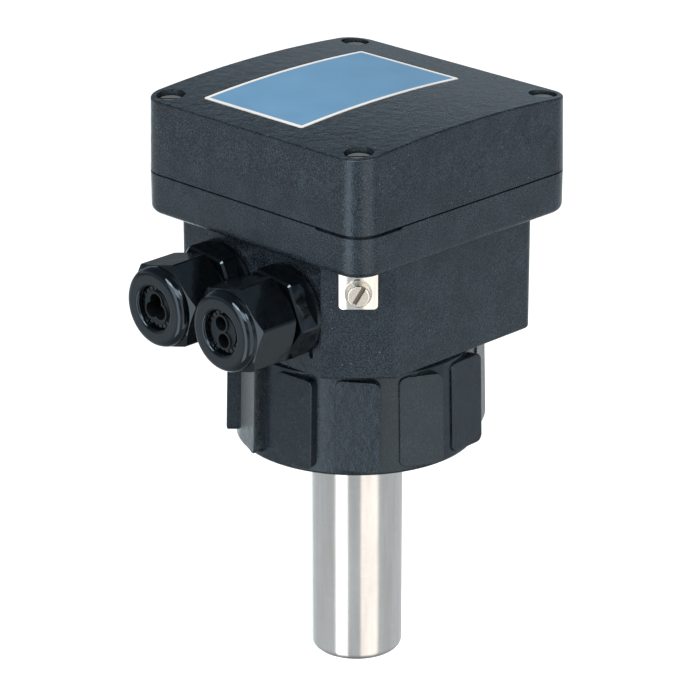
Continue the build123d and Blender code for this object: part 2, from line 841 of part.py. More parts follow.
pieces = {
    "base_housing": make_base(),
    "lid": make_lid(),
    "lid_label": label_blank(0, 0),
    "lid_gasket": make_gasket(),
    "lid_inserts": make_inserts(),
    "sensor_collar": make_collar(),
    "fitting_seal_ring": make_seal_ring(),
    "union_nut": make_union_nut(),
    "sensor_finger": make_finger(),
    "finger_bush": make_bush(),
    "bush_seal_ring": make_bush_seal(),
    "finger_clamp_ring": make_clamp_ring(),
    "clamp_ring_screws": make_clamp_screws(),
    "electrode_holder": make_holder(),
    "electrode_left": make_electrode(-electrode_offset),
    "electrode_right": make_electrode(electrode_offset),
    "coil_core": make_core(),
    "coil_bobbin": make_bobbin(),
    "coil_winding": make_winding(),
    "earth_plate": make_earth_plate(),
    "earth_washer": make_earth_washer(),
    "earth_screw": make_earth_screw(),
    "circuit_board": make_board(),
    "board_screws": make_board_screws(),
    "supply_terminal": make_terminal(supply_x, supply_poles),
    "output_terminal": make_terminal(output_x, output_poles),
    "terminal_screws": make_terminal_screws(),
    "power_converter": on_board(converter_size, converter_place, 0.8),
    "board_capacitors": make_capacitors(),
    "processor_chip": on_board((chip_width, chip_width, chip_height), chip_place, 0.2),
    "sensor_plug_socket": make_plug(),
}
for number, (screw_x, screw_y) in enumerate(corner_places, start=1):
    pieces[f"lid_screw_{number}"] = make_lid_screw(screw_x, screw_y)
for side, gland_x, holes in (
    ("rear", gland_x_rear, lobed_holes),
    ("front", gland_x_front, twin_holes),
):
    pieces[f"gland_washer_{side}"] = make_gland_washer(gland_x)
    pieces[f"gland_body_{side}"] = make_gland_body(gland_x)
    pieces[f"gland_seal_{side}"] = make_gland_seal(gland_x, holes)
    pieces[f"gland_nut_{side}"] = make_gland_nut(gland_x)

for name, shape in pieces.items():
    group = Compound(children=shape) if isinstance(shape, list) else shape
    export_step(group, f"parts/{name}.step")
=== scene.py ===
# %% [markdown]
# # An insertion flow meter for pipe lines
# The real thing is a square plastic head with its electronics, a plastic union nut that
# holds it on a pipe fitting, and a stainless finger that reaches into the water. The solid
# pieces come ready-made and fixed in place. This lesson gives every one of them its finish,
# adds the thread that catches the light in the nut, and photographs the whole in a soft
# studio.

# %% Load the fixed frame
import json
import math

import bmesh
import bpy
from mathutils import Matrix, Vector


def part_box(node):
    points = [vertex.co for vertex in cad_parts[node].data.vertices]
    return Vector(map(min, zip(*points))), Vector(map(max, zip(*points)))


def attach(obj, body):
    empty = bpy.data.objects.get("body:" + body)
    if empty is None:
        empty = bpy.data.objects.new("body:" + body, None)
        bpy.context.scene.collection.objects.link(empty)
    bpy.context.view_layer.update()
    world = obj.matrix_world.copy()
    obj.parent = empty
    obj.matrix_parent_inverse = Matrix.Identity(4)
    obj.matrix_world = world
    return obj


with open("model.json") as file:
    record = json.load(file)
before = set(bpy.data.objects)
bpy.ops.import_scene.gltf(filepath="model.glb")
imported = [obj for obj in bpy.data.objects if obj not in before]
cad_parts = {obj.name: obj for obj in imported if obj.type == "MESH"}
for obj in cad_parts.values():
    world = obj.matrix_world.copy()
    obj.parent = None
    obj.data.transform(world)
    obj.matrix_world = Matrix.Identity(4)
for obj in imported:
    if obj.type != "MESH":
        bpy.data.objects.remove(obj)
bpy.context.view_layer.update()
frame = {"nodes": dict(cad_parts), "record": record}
pieces = frame["nodes"]
MM = 0.001
print("pieces in the frame:", len(pieces))

# %% [markdown]
# ## Colours and nodes
# Colours are written as sRGB hex values, the way a paint chart gives them. Blender's shaders
# work in linear light, so one function converts them. A second small function adds any
# shader node, sets it and links it, which keeps each material short enough to read.

# %% Colour and node helpers
def linear(hex_colour):
    """Turns "#RRGGBB" into the linear RGBA that a shader socket wants."""
    parts = [int(hex_colour[i:i + 2], 16) / 255 for i in (1, 3, 5)]
    bent = [c / 12.92 if c <= 0.04045 else ((c + 0.055) / 1.055) ** 2.4 for c in parts]
    return (*bent, 1.0)


def put(tree, kind, inputs=None, stops=None, **settings):
    """Adds a node. An input is a value, an output, or a node, which gives its first output.

    The stops of a colour ramp are pairs of a position and a hex colour.
    """
    node = tree.nodes.new(kind)
    for name, value in settings.items():
        setattr(node, name, value)
    for key, value in (inputs or {}).items():
        if isinstance(value, bpy.types.Node):
            value = value.outputs[0]
        if isinstance(value, bpy.types.NodeSocket):
            tree.links.new(value, node.inputs[key])
        else:
            node.inputs[key].default_value = value
    if stops:
        elements = node.color_ramp.elements
        while len(elements) < len(stops):
            elements.new(0.5)
        for element, (position, colour) in zip(elements, stops):
            element.position = position
            element.color = linear(colour)
    return node


print("mid grey in linear light:", round(linear("#808080")[0], 3))

# %% [markdown]
# ## The start and the end of every finish
# Each finish begins with the piece's own coordinates, so that a pattern has a real size in
# millimetres and stays on the piece when it moves. It ends with a bump, the surface shader
# and the output. What lies between is what makes one material differ from another, and
# most of that is grain: noise of a chosen size, stretched where the tool left lines.

# %% Shared by all finishes
def new_material(name):
    material = bpy.data.materials.new(name)
    material.use_nodes = True
    tree = material.node_tree
    tree.nodes.clear()
    place = put(tree, "ShaderNodeTexCoord").outputs["Object"]
    return material, tree, place


def grain(tree, place, size_mm, detail=2.0, roughness=0.5, stretch=(1, 1, 1)):
    """Noise whose grains are about size_mm across, or stretched along an axis."""
    moved = put(tree, "ShaderNodeMapping", {"Vector": place, "Scale": stretch})
    return put(tree, "ShaderNodeTexNoise", {
        "Vector": moved, "Scale": 1 / (size_mm * MM), "Detail": detail, "Roughness": roughness,
    })


def close_material(tree, inputs, bump=None, depth=0.0):
    inputs = dict(inputs)
    if bump is not None:
        facts = {"Height": bump, "Distance": depth, "Strength": 1.0}
        inputs["Normal"] = put(tree, "ShaderNodeBump", facts)
    shader = put(tree, "ShaderNodeBsdfPrincipled", inputs)
    put(tree, "ShaderNodeOutputMaterial", {"Surface": shader})


print("materials before the first finish:", len(bpy.data.materials))

# %% [markdown]
# ## The head's plastic
# The lid and the base are glass-filled engineering plastic from a spark-eroded mould. The
# mould leaves a fine grain about half a millimetre across, the glass fibres make the black
# look a little grey, and dust and handling break the sheen into soft clouds. A Voronoi
# grain gives the bump, slow waves show where the wall shrank, and two noises move colour
# and roughness a little. Single specks of dust are dots in one cell out of five.

# %% Moulded head plastic
COOL_SHEEN = linear("#daf0ff")  # dark plastics mirror the studio a little blue
DUST_CELL = 1.9  # mm between places for a speck
DUST_CHANCE = 0.72  # a cell holds a speck when its own number is above this
GRIT_SHARE = 0.82  # of the colour comes from the fine grain, the rest from the clouds
WAVE_SIZE = 2.6  # mm
WAVE_SHARE = 4.0  # how much higher the waves are than the grain


def moulded_plastic(name, dark, light, rough_low, rough_high, grain_mm, grain_depth, speck):
    material, tree, place = new_material(name)
    clouds = grain(tree, place, 7.0, 4.0, 0.6)
    grit = grain(tree, place, grain_mm, 3.0, 0.65)
    mixed = put(tree, "ShaderNodeMix", {0: GRIT_SHARE, 2: clouds, 3: grit})
    colour = put(tree, "ShaderNodeValToRGB", {"Fac": mixed}, [(0.44, dark), (0.68, light)])
    cells = put(tree, "ShaderNodeTexVoronoi", {"Vector": place, "Scale": 1 / (DUST_CELL * MM)})
    dots = put(tree, "ShaderNodeMath", {0: cells, 1: speck}, operation="LESS_THAN")
    chance = put(
        tree, "ShaderNodeMath", {0: cells.outputs["Color"], 1: DUST_CHANCE},
        operation="GREATER_THAN",
    )
    dust = put(tree, "ShaderNodeMath", {0: dots, 1: chance}, operation="MULTIPLY")
    dusty = put(
        tree, "ShaderNodeMix", {0: dust, 6: colour, 7: linear("#6d7276")}, data_type="RGBA"
    )
    pits = put(
        tree, "ShaderNodeTexVoronoi", {"Vector": place, "Scale": 1 / (grain_mm * MM)},
        feature="SMOOTH_F1",
    )
    fine = put(tree, "ShaderNodeMath", {0: pits, 1: grit}, operation="ADD")
    waves = grain(tree, place, WAVE_SIZE, 3.0, 0.55)
    height = put(
        tree, "ShaderNodeMath", {0: waves, 1: WAVE_SHARE, 2: fine}, operation="MULTIPLY_ADD"
    )
    sheen = put(
        tree, "ShaderNodeMapRange", {"Value": clouds, "To Min": rough_low, "To Max": rough_high}
    )
    close_material(
        tree,
        {
            "Base Color": dusty.outputs[2], "Roughness": sheen, "IOR": 1.52,
            "Specular Tint": COOL_SHEEN,
        },
        height, grain_depth * MM,
    )
    return material


head_plastic = moulded_plastic(
    "glass_filled_plastic", "#0d1014", "#2e373e", 0.13, 0.22, 0.42, 0.045, 0.07
)
nut_plastic = moulded_plastic(
    "moulded_nut_plastic", "#090c0f", "#222a31", 0.15, 0.25, 0.4, 0.04, 0.04
)
print("grained plastics:", head_plastic.name, "and", nut_plastic.name)

# %% [markdown]
# ## Polished polyamide
# Cable glands come from a polished mould, so the nylon is nearly a mirror: deep black with
# sharp highlights. Real mouldings still ripple slightly over a few millimetres where the
# wall shrank, and that ripple is what stops them looking like glass.

# %% Gland polyamide
def polished_polyamide():
    material, tree, place = new_material("polished_polyamide")
    ripple = grain(tree, place, 5.0, 1.0)
    smear = grain(tree, place, 2.2, 4.0, 0.6)
    colour = put(
        tree, "ShaderNodeValToRGB", {"Fac": smear}, [(0.3, "#040608"), (0.75, "#0a0d10")]
    )
    sheen = put(tree, "ShaderNodeMapRange", {"Value": smear, "To Min": 0.06, "To Max": 0.14})
    close_material(
        tree,
        {"Base Color": colour, "Roughness": sheen, "IOR": 1.58, "Specular Tint": COOL_SHEEN},
        ripple, 0.09 * MM,
    )
    return material


gland_plastic = polished_polyamide()
print("gland finish:", gland_plastic.name)

# %% [markdown]
# ## Seal rubber
# The seals in the glands, the gasket and the rings are black moulded rubber. A faint bloom
# of wax comes to its surface, so the sheen is patchy and much softer than the nylon's, and
# the seals look like dark holes behind the shiny nuts.

# %% Moulded rubber
def moulded_rubber():
    material, tree, place = new_material("moulded_rubber")
    bloom = grain(tree, place, 1.6, 4.0, 0.6)
    colour = put(
        tree, "ShaderNodeValToRGB", {"Fac": bloom}, [(0.3, "#030405"), (0.8, "#090b0c")]
    )
    sheen = put(tree, "ShaderNodeMapRange", {"Value": bloom, "To Min": 0.32, "To Max": 0.5})
    close_material(
        tree,
        {"Base Color": colour, "Roughness": sheen, "IOR": 1.5, "Specular Tint": COOL_SHEEN},
        grain(tree, place, 0.3), 0.015 * MM,
    )
    return material


rubber = moulded_rubber()
print("seal finish:", rubber.name)

# %% [markdown]
# ## The ground stainless finger
# The finger is drawn tube, ground round and round on a centreless grinder. The lines run
# about the axis, so along Z the surface changes every tenth of a millimetre and around it
# hardly at all, and highlights stretch into long upright bands. An anisotropic shader does
# the stretching, and a noise squeezed along Z draws the lines. Real grinding lines are
# finer than a pixel, so these are drawn as coarse as they need to be to show.

# %% Ground stainless
def ground_stainless():
    material, tree, place = new_material("ground_stainless")
    lines = grain(tree, place, 6.0, 5.0, 0.7, (1, 1, 40))
    streaks = grain(tree, place, 3.0, 3.0, 0.6, (1, 1, 0.12))
    mixed = put(tree, "ShaderNodeMath", {0: lines, 1: streaks}, operation="MULTIPLY")
    colour = put(
        tree, "ShaderNodeValToRGB", {"Fac": mixed}, [(0.1, "#cfcdca"), (0.45, "#e4e3e1")]
    )
    sheen = put(tree, "ShaderNodeMapRange", {"Value": lines, "To Min": 0.2, "To Max": 0.27})
    tangent = put(tree, "ShaderNodeTangent", direction_type="RADIAL", axis="Z")
    close_material(
        tree,
        {
            "Base Color": colour, "Metallic": 1.0, "Roughness": sheen,
            "Anisotropic": 0.9, "Anisotropic Rotation": 0.25, "Tangent": tangent,
        },
        lines, 0.004 * MM,
    )
    return material


finger_steel = ground_stainless()
print("finger finish:", finger_steel.name)

# %% [markdown]
# ## Small turned and plated pieces
# The screws and electrodes, the plated washer and clamp ring, the brass inserts and the iron
# core are small turned pieces. Turning and plating leave fine, even marks without a direction
# that shows, which the eye reads as a soft sheen. One noise moves colour and roughness
# together, and one function serves all four metals, because only their colour and polish
# differ.

# %% Small metals
def small_metal(name, dark, light, rough_low, rough_high, grain_mm):
    material, tree, place = new_material(name)
    marks = grain(tree, place, grain_mm, 4.0, 0.6)
    colour = put(tree, "ShaderNodeValToRGB", {"Fac": marks}, [(0.3, dark), (0.7, light)])
    sheen = put(
        tree, "ShaderNodeMapRange", {"Value": marks, "To Min": rough_low, "To Max": rough_high}
    )
    close_material(
        tree, {"Base Color": colour, "Metallic": 1.0, "Roughness": sheen}, marks, 0.006 * MM
    )
    return material


screw_steel = small_metal("turned_stainless", "#b9b1a8", "#ddd5cb", 0.25, 0.4, 0.35)
plated_steel = small_metal("nickel_plated_steel", "#c9c8c4", "#e2e1dd", 0.16, 0.3, 0.6)
brass = small_metal("turned_brass", "#a58544", "#c9a85f", 0.22, 0.38, 0.5)
soft_iron = small_metal("machined_iron", "#57575a", "#77777a", 0.35, 0.5, 0.5)
print("small metals:", [metal.name for metal in (screw_steel, plated_steel, brass, soft_iron)])

# %% [markdown]
# ## Where a screw's slot is
# A slot is a recess in shade, so it is painted dark as shade while the face around it
# stays bright. It could be painted on a UV map. Here the head's middle and radius are
# measured from the piece's own corners instead, and every point inside that radius but
# below the face belongs to the slot. That needs no map, and it fits a screw of any size.

# %% Finding the slot
FACE_MARGIN = 0.05  # mm, corners this close to the highest one lie in the head's face
SLOT_MARGIN = 0.1  # mm below the face where the slot's colour starts


def head_face(piece, normal):
    """The middle and the radius of a screw's head, seen along its normal."""
    corners = [vertex.co for vertex in piece.data.vertices]
    level = max(corner.dot(normal) for corner in corners)
    ring = [corner for corner in corners if corner.dot(normal) > level - FACE_MARGIN * MM]
    middle = sum(ring, Vector()) / len(ring)
    return middle, max((corner - middle).length for corner in ring)


def in_slot(tree, place, middle, normal, radius):
    """1 inside the slot and 0 elsewhere."""
    offset = put(
        tree, "ShaderNodeVectorMath", {0: place, 1: tuple(middle)}, operation="SUBTRACT"
    )
    facts = {0: offset, 1: tuple(normal)}
    rise = put(tree, "ShaderNodeVectorMath", facts, operation="DOT_PRODUCT").outputs["Value"]
    side = put(tree, "ShaderNodeVectorMath", facts, operation="CROSS_PRODUCT")
    away = put(tree, "ShaderNodeVectorMath", {0: side}, operation="LENGTH").outputs["Value"]
    sunk = put(tree, "ShaderNodeMath", {0: rise, 1: -SLOT_MARGIN * MM}, operation="LESS_THAN")
    near = put(tree, "ShaderNodeMath", {0: away, 1: radius}, operation="LESS_THAN")
    return put(tree, "ShaderNodeMath", {0: sunk, 1: near}, operation="MULTIPLY")


EARTH_NORMAL = Vector((1, -1, 0)).normalized()  # the earth screw looks out of this corner
earth_middle, earth_radius = head_face(pieces["earth_screw"], EARTH_NORMAL)
print("earth screw's face:", round(earth_radius / MM, 2), "mm in radius")

# %% [markdown]
# ## The earth screw
# A cheese-head screw, turned from bar. Its flat face catches the light all at once, so its
# colour is painted paler than that of the other screws as a highlight, and its slot is
# painted a dull grey brown as shade.

# %% Slotted head
def slotted_steel(middle, normal, radius):
    material, tree, place = new_material("slotted_stainless")
    marks = grain(tree, place, 0.35, 4.0, 0.6)
    slot_shade_mask = in_slot(tree, place, middle, normal, radius)
    # painted highlight: the face's steel is paler than that of the other stainless screws
    painted_highlight_steel = put(
        tree, "ShaderNodeValToRGB", {"Fac": marks}, [(0.3, "#e3dace"), (0.7, "#faf1e4")]
    )
    # painted shade: the slot is a dull grey brown
    colour = put(
        tree, "ShaderNodeMix", {0: slot_shade_mask, 6: painted_highlight_steel, 7: linear("#8f867b")}, data_type="RGBA"
    )
    sheen = put(tree, "ShaderNodeMapRange", {"Value": marks, "To Min": 0.2, "To Max": 0.34})
    close_material(
        tree, {"Base Color": colour.outputs[2], "Metallic": 1.0, "Roughness": sheen},
        marks, 0.006 * MM,
    )
    return material


earth_screw_steel = slotted_steel(earth_middle, EARTH_NORMAL, earth_radius)
print("earth screw finish:", earth_screw_steel.name)

# %% [markdown]
# ## The lid's screws
# Stainless screws with a slotted head and a rolled thread below it. The shank shows only
# when the lid is off. A real helix on four thin screws would cost many faces for little, so
# the thread is a sine wave in the bump, and the same wave paints shade into the colour of
# its valleys, one wave for each pitch. The heads stand in the lid's holes, so their steel is
# painted darker than that of the other screws as shade. The four screws stand in the corners
# of a square, so places are folded onto one corner, and one material finds the slot of each
# and paints it dark as shade.

# %% Threaded shank
LID_SCREW_PITCH = 0.7  # mm, the coarse thread of an M4 screw
LID_SCREW_REACH = 4.0  # mm from the lid's lower face up to where the thread ends


def threaded_steel(piece, pitch, thread_high):
    material, tree, place = new_material("rolled_thread_stainless")
    marks = grain(tree, place, 0.35, 4.0, 0.6)
    height = put(tree, "ShaderNodeSeparateXYZ", {"Vector": place}).outputs["Z"]
    turns = put(
        tree, "ShaderNodeMath", {0: height, 1: 2 * math.pi / (pitch * MM)}, operation="MULTIPLY"
    )
    wave = put(tree, "ShaderNodeMath", {0: turns}, operation="SINE")
    shank = put(tree, "ShaderNodeMath", {0: height, 1: thread_high * MM}, operation="LESS_THAN")
    thread = put(tree, "ShaderNodeMath", {0: wave, 1: shank}, operation="MULTIPLY")
    valley = put(tree, "ShaderNodeMath", {0: thread, 1: 0.5, 2: 0.5}, operation="MULTIPLY_ADD")
    # painted shade: the thread's valleys are darker than its crests
    shade = put(
        tree, "ShaderNodeValToRGB", {"Fac": valley}, [(0.0, "#4b4a47"), (0.45, "#a9a6a0")]
    )
    up = Vector((0, 0, 1))
    middle, radius = head_face(piece, up)
    folded = put(tree, "ShaderNodeVectorMath", {0: place}, operation="ABSOLUTE")
    slot_shade_mask = in_slot(tree, folded, [abs(c) for c in middle], up, radius)
    # painted shade: the heads' steel is darker than that of the other stainless screws
    hole_shaded_steel = put(
        tree, "ShaderNodeValToRGB", {"Fac": marks}, [(0.3, "#7c8280"), (0.7, "#a7ada9")]
    )
    # painted shade: the slot is near black
    tint = put(
        tree, "ShaderNodeMix", {0: slot_shade_mask, 6: hole_shaded_steel, 7: linear("#16171a")}, data_type="RGBA"
    )
    colour = put(
        tree, "ShaderNodeMix", {0: shank, 6: tint.outputs[2], 7: shade}, data_type="RGBA"
    )
    sheen = put(tree, "ShaderNodeMapRange", {"Value": marks, "To Min": 0.35, "To Max": 0.5})
    close_material(
        tree, {"Base Color": colour.outputs[2], "Metallic": 0.8, "Roughness": sheen},
        thread, 0.15 * MM,
    )
    return material


lid_screw = next(piece for name, piece in pieces.items() if name.startswith("lid_screw"))
thread_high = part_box("lid")[0][2] / MM + LID_SCREW_REACH
lid_screw_steel = threaded_steel(lid_screw, LID_SCREW_PITCH, thread_high)
print("the lid screws' thread ends at", round(thread_high, 2), "mm")

# %% [markdown]
# ## The earth plate
# A strip of nickel-plated sheet, blanked and pressed, is never quite flat, and its slight
# crown spreads the reflection of the lamps over it. The crown is too slight to model, so
# it is in the bump, as the square of the distance from the middle.

# %% Pressed plate
PLATE_CROWN = 33.0  # per metre: how fast the plate falls away from its middle


def bright_plate(crown_rate):
    material, tree, place = new_material("pressed_nickel_plate")
    lines = grain(tree, place, 1.2, 3.0, 0.6, (1, 1, 0.1))
    sideways = (math.sqrt(0.5), math.sqrt(0.5), 0)
    across = put(
        tree, "ShaderNodeVectorMath", {0: place, 1: sideways}, operation="DOT_PRODUCT"
    ).outputs["Value"]
    square = put(tree, "ShaderNodeMath", {0: across, 1: across}, operation="MULTIPLY")
    crown = put(tree, "ShaderNodeMath", {0: square, 1: -crown_rate}, operation="MULTIPLY")
    colour = put(
        tree, "ShaderNodeValToRGB", {"Fac": lines}, [(0.3, "#d2d1cd"), (0.7, "#e9e7e3")]
    )
    sheen = put(tree, "ShaderNodeMapRange", {"Value": lines, "To Min": 0.1, "To Max": 0.22})
    close_material(
        tree, {"Base Color": colour, "Metallic": 1.0, "Roughness": sheen}, crown, 1.0
    )
    return material


earth_plate = bright_plate(PLATE_CROWN)
print("plate finish:", earth_plate.name)

# %% [markdown]
# ## The label
# A printed polyester film lies in a shallow recess of the lid: a plain blue field inside a
# pale border. The border is drawn by measuring how far a point is from the label's edge,
# with the label's own box giving the middle and the size. An image would do it too, but
# would blur close up.

# %% Printed label film
BORDER_WIDTH = 1.25  # mm


def label_film(low, high):
    material, tree, place = new_material("printed_film")
    centre = [(a + b) / 2 for a, b in zip(low, high)]
    half = [(b - a) / 2 for a, b in zip(low, high)]
    moved = put(
        tree, "ShaderNodeVectorMath", {0: place, 1: tuple(centre)}, operation="SUBTRACT"
    )
    axes = put(tree, "ShaderNodeSeparateXYZ", {"Vector": moved})
    edges = []
    for axis in range(2):
        away = put(tree, "ShaderNodeMath", {0: axes.outputs[axis]}, operation="ABSOLUTE")
        edges.append(put(tree, "ShaderNodeMath", {0: half[axis], 1: away}, operation="SUBTRACT"))
    nearest = put(tree, "ShaderNodeMath", {0: edges[0], 1: edges[1]}, operation="MINIMUM")
    inside = put(
        tree, "ShaderNodeMath", {0: nearest, 1: BORDER_WIDTH * MM}, operation="GREATER_THAN"
    )
    cloud = grain(tree, place, 14.0, 3.0)
    blue = put(
        tree, "ShaderNodeValToRGB", {"Fac": cloud}, [(0.3, "#4e7796"), (0.75, "#547e9d")]
    )
    white = put(
        tree, "ShaderNodeValToRGB", {"Fac": cloud}, [(0.3, "#bdbbb7"), (0.75, "#cac7c2")]
    )
    ink = put(tree, "ShaderNodeMix", {0: inside, 6: white, 7: blue}, data_type="RGBA")
    sheen = put(tree, "ShaderNodeMapRange", {"Value": cloud, "To Min": 0.4, "To Max": 0.52})
    close_material(
        tree, {"Base Color": ink.outputs[2], "Roughness": sheen, "IOR": 1.5},
        grain(tree, place, 0.35), 0.006 * MM,
    )
    return material


label = label_film(*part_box("lid_label"))
print("label finish:", label.name)

# %% [markdown]
# ## The circuit board
# The lid comes off, so the electronics need real finishes too. Green solder mask lies over
# the copper tracks, which stand a little higher than the board. Tracks that follow one
# another side by side are contour lines of a slow noise: its value times a number, with
# only the part behind the point kept.

# %% Solder mask
TRACKS = 26.0  # contour lines between the lowest and the highest value
TRACK_SHARE = 0.42  # how much of the way from track to track is copper


def solder_mask():
    material, tree, place = new_material("solder_mask")
    slow = grain(tree, place, 9.0, 0.0)
    lines = put(tree, "ShaderNodeMath", {0: slow, 1: TRACKS}, operation="MULTIPLY")
    saw = put(tree, "ShaderNodeMath", {0: lines}, operation="FRACT")
    track = put(tree, "ShaderNodeMath", {0: saw, 1: TRACK_SHARE}, operation="LESS_THAN")
    greens = {0: track, 6: linear("#0f4a2a"), 7: linear("#1f6a3c")}
    colour = put(tree, "ShaderNodeMix", greens, data_type="RGBA")
    close_material(
        tree, {"Base Color": colour.outputs[2], "Roughness": 0.28, "IOR": 1.52},
        track, 0.05 * MM,
    )
    return material


board = solder_mask()
print("board finish:", board.name)

# %% [markdown]
# ## Terminals, components and the coil
# Small mouldings look alike apart from colour and gloss: an even skin with faint clouds. One
# function makes them. The coil is enamelled wire laid side by side, which catches the light
# in even lines, one for each turn.

# %% Small mouldings and wire
WIRE = 0.4  # mm from one turn to the next


def moulded_part(name, dark, light, rough, grain_mm=0.5):
    material, tree, place = new_material(name)
    fine = grain(tree, place, grain_mm, 3.0)
    broad = grain(tree, place, 6.0, 3.0)
    colour = put(tree, "ShaderNodeValToRGB", {"Fac": broad}, [(0.3, dark), (0.75, light)])
    sheen = put(
        tree, "ShaderNodeMapRange",
        {"Value": broad, "To Min": rough - 0.06, "To Max": rough + 0.06},
    )
    close_material(
        tree, {"Base Color": colour, "Roughness": sheen, "IOR": 1.5}, fine, 0.012 * MM
    )
    return material


def wound_wire():
    material, tree, place = new_material("enamelled_wire")
    height = put(tree, "ShaderNodeSeparateXYZ", {"Vector": place}).outputs["Z"]
    phase = put(
        tree, "ShaderNodeMath", {0: height, 1: 2 * math.pi / (WIRE * MM)}, operation="MULTIPLY"
    )
    turns = put(tree, "ShaderNodeMath", {0: phase}, operation="SINE")
    tint = grain(tree, place, 2.0, 2.0)
    colour = put(
        tree, "ShaderNodeValToRGB", {"Fac": tint}, [(0.3, "#9a4a22"), (0.75, "#b9622f")]
    )
    close_material(
        tree, {"Base Color": colour, "Metallic": 0.85, "Roughness": 0.3}, turns, 0.08 * MM
    )
    return material


finishes = {
    "head_plastic": head_plastic,
    "nut_plastic": nut_plastic,
    "gland_polyamide": gland_plastic,
    "seal_rubber": rubber,
    "label_film": label,
    "stainless": finger_steel,
    "plated_steel": plated_steel,
    "brass": brass,
    "soft_iron": soft_iron,
    "holder_plastic": moulded_part("natural_peek", "#b39a6c", "#c4ab7c", 0.4),
    "copper": wound_wire(),
    "bobbin_plastic": moulded_part("natural_nylon", "#d6d2c6", "#e2dfd5", 0.45),
    "board_laminate": board,
    "terminal_plastic": moulded_part("green_polyamide", "#2c7a3d", "#378a49", 0.42),
    "component_black": moulded_part("black_epoxy", "#17181a", "#222426", 0.5),
    "capacitor_sleeve": moulded_part("shrink_sleeve", "#16203f", "#1e2a50", 0.25),
    "socket_plastic": moulded_part("cream_nylon", "#ded8c6", "#e9e4d4", 0.4),
}
print("finishes:", len(finishes))

# %% [markdown]
# ## Giving every piece its finish
# The record says which finish each solid takes. Screws and electrodes are turned and not
# ground tube, and the earth plate is pressed, so they get their own.

# %% Assign the finishes
special = {"earth_plate": earth_plate, "earth_screw": earth_screw_steel}
electrodes = ("electrode_left", "electrode_right")
slot_of = {row["node"]: row["material_slot"] for row in frame["record"]["subparts"]}
for node_name, piece in pieces.items():
    finish = special.get(node_name, finishes[slot_of[node_name]])
    if node_name.startswith("lid_screw"):
        finish = lid_screw_steel
    elif node_name in electrodes or ("screw" in node_name and node_name not in special):
        finish = screw_steel
    for material_slot in piece.material_slots:
        material_slot.material = finish
print("dressed:", len(slot_of), "pieces")

# %% [markdown]
# ## The thread inside the union nut
# The nut screws on a G 2 pipe thread: eleven turns to the inch, 1.48 mm deep. On the real
# nut an unscrewing core in the mould shapes it. The solid nut has a smooth bore of the
# major diameter, so the thread is added here as one ridge that climbs round the bore. A
# closed outline of the ridge is spun six turns and lifted by one pitch each turn, which
# gives an even right-hand helix and needs no list of points.

# %% Nut thread
THREAD_OUTER = 29.9  # mm, a tenth more than the bore, so that the ridge joins its wall
THREAD_INNER = 28.35
THREAD_PITCH = 2.309
THREAD_START = 2.6  # mm above the nut's foot
THREAD_TURNS = 6
STEPS_PER_TURN = 72
ROOT_SHARE = 0.46  # of the pitch, from the ridge's middle to its foot
CREST_SHARE = 0.09  # and to its flat top


def helix_ridge(name, outer, inner, pitch, low, turns):
    """A trapezoid ridge that stands inwards from radius outer to radius inner, in mm."""
    bm = bmesh.new()
    outline = [
        (outer, -ROOT_SHARE), (inner, -CREST_SHARE), (inner, CREST_SHARE), (outer, ROOT_SHARE),
    ]
    corners = [
        bm.verts.new((radius * MM, 0, (low + share * pitch) * MM)) for radius, share in outline
    ]
    start = bm.faces.new(corners)
    bmesh.ops.spin(
        bm, geom=[start], cent=(0, 0, 0), axis=(0, 0, 1),
        dvec=(0, 0, pitch * MM / STEPS_PER_TURN), steps=turns * STEPS_PER_TURN,
        angle=turns * 2 * math.pi,
    )
    bmesh.ops.recalc_face_normals(bm, faces=bm.faces)
    mesh = bpy.data.meshes.new(name)
    bm.to_mesh(mesh)
    bm.free()
    ridge = bpy.data.objects.new(name, mesh)
    bpy.context.scene.collection.objects.link(ridge)
    return ridge


nut_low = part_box("union_nut")[0][2] / MM
nut_thread = helix_ridge(
    "nut_thread", THREAD_OUTER, THREAD_INNER, THREAD_PITCH, nut_low + THREAD_START, THREAD_TURNS
)
nut_thread.data.materials.append(nut_plastic)
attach(nut_thread, "union_nut")
print("nut thread faces:", len(nut_thread.data.polygons))

# %% [markdown]
# ## The floor
# The photograph is a product shot on white. A wide pale floor, a grid of a few faces, gives
# the same. It lies well below the finger's tip, so that no shadow shows under it, and
# mirrors don't see it, because the sky below the horizon gives them a softer tone.

# %% Floor
FLOOR_GAP = 0.16  # m below the tip
FLOOR_REACH = 12.0  # m, half the floor's side
floor_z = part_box("sensor_finger")[0][2] - FLOOR_GAP
bm = bmesh.new()
bmesh.ops.create_grid(bm, x_segments=8, y_segments=8, size=FLOOR_REACH)
floor_mesh = bpy.data.meshes.new("studio_floor")
bm.to_mesh(floor_mesh)
bm.free()
floor = bpy.data.objects.new("studio_floor", floor_mesh)
bpy.context.scene.collection.objects.link(floor)
floor_mesh.transform(Matrix.Translation((0, 0, floor_z)))
floor_paint, tree, place = new_material("pale_floor")
soft = grain(tree, place, 900.0, 2.0)
pale = put(tree, "ShaderNodeValToRGB", {"Fac": soft}, [(0.3, "#f6f6f6"), (0.7, "#fafafa")])
close_material(tree, {"Base Color": pale, "Roughness": 0.9})
floor_mesh.materials.append(floor_paint)
floor.visible_glossy = False
print("floor at", round(floor_z, 4), "m")

# %% [markdown]
# ## The sky
# Soft light from all round comes from the world. A dark shiny object shows less of the
# light that falls on it than of what it mirrors, and a studio is dim above and around the
# camera and bright near the table. So the world has two ramps, both from straight down to
# straight up: one lights the scene, the other is what mirrors see. A Light Path node picks
# between them.

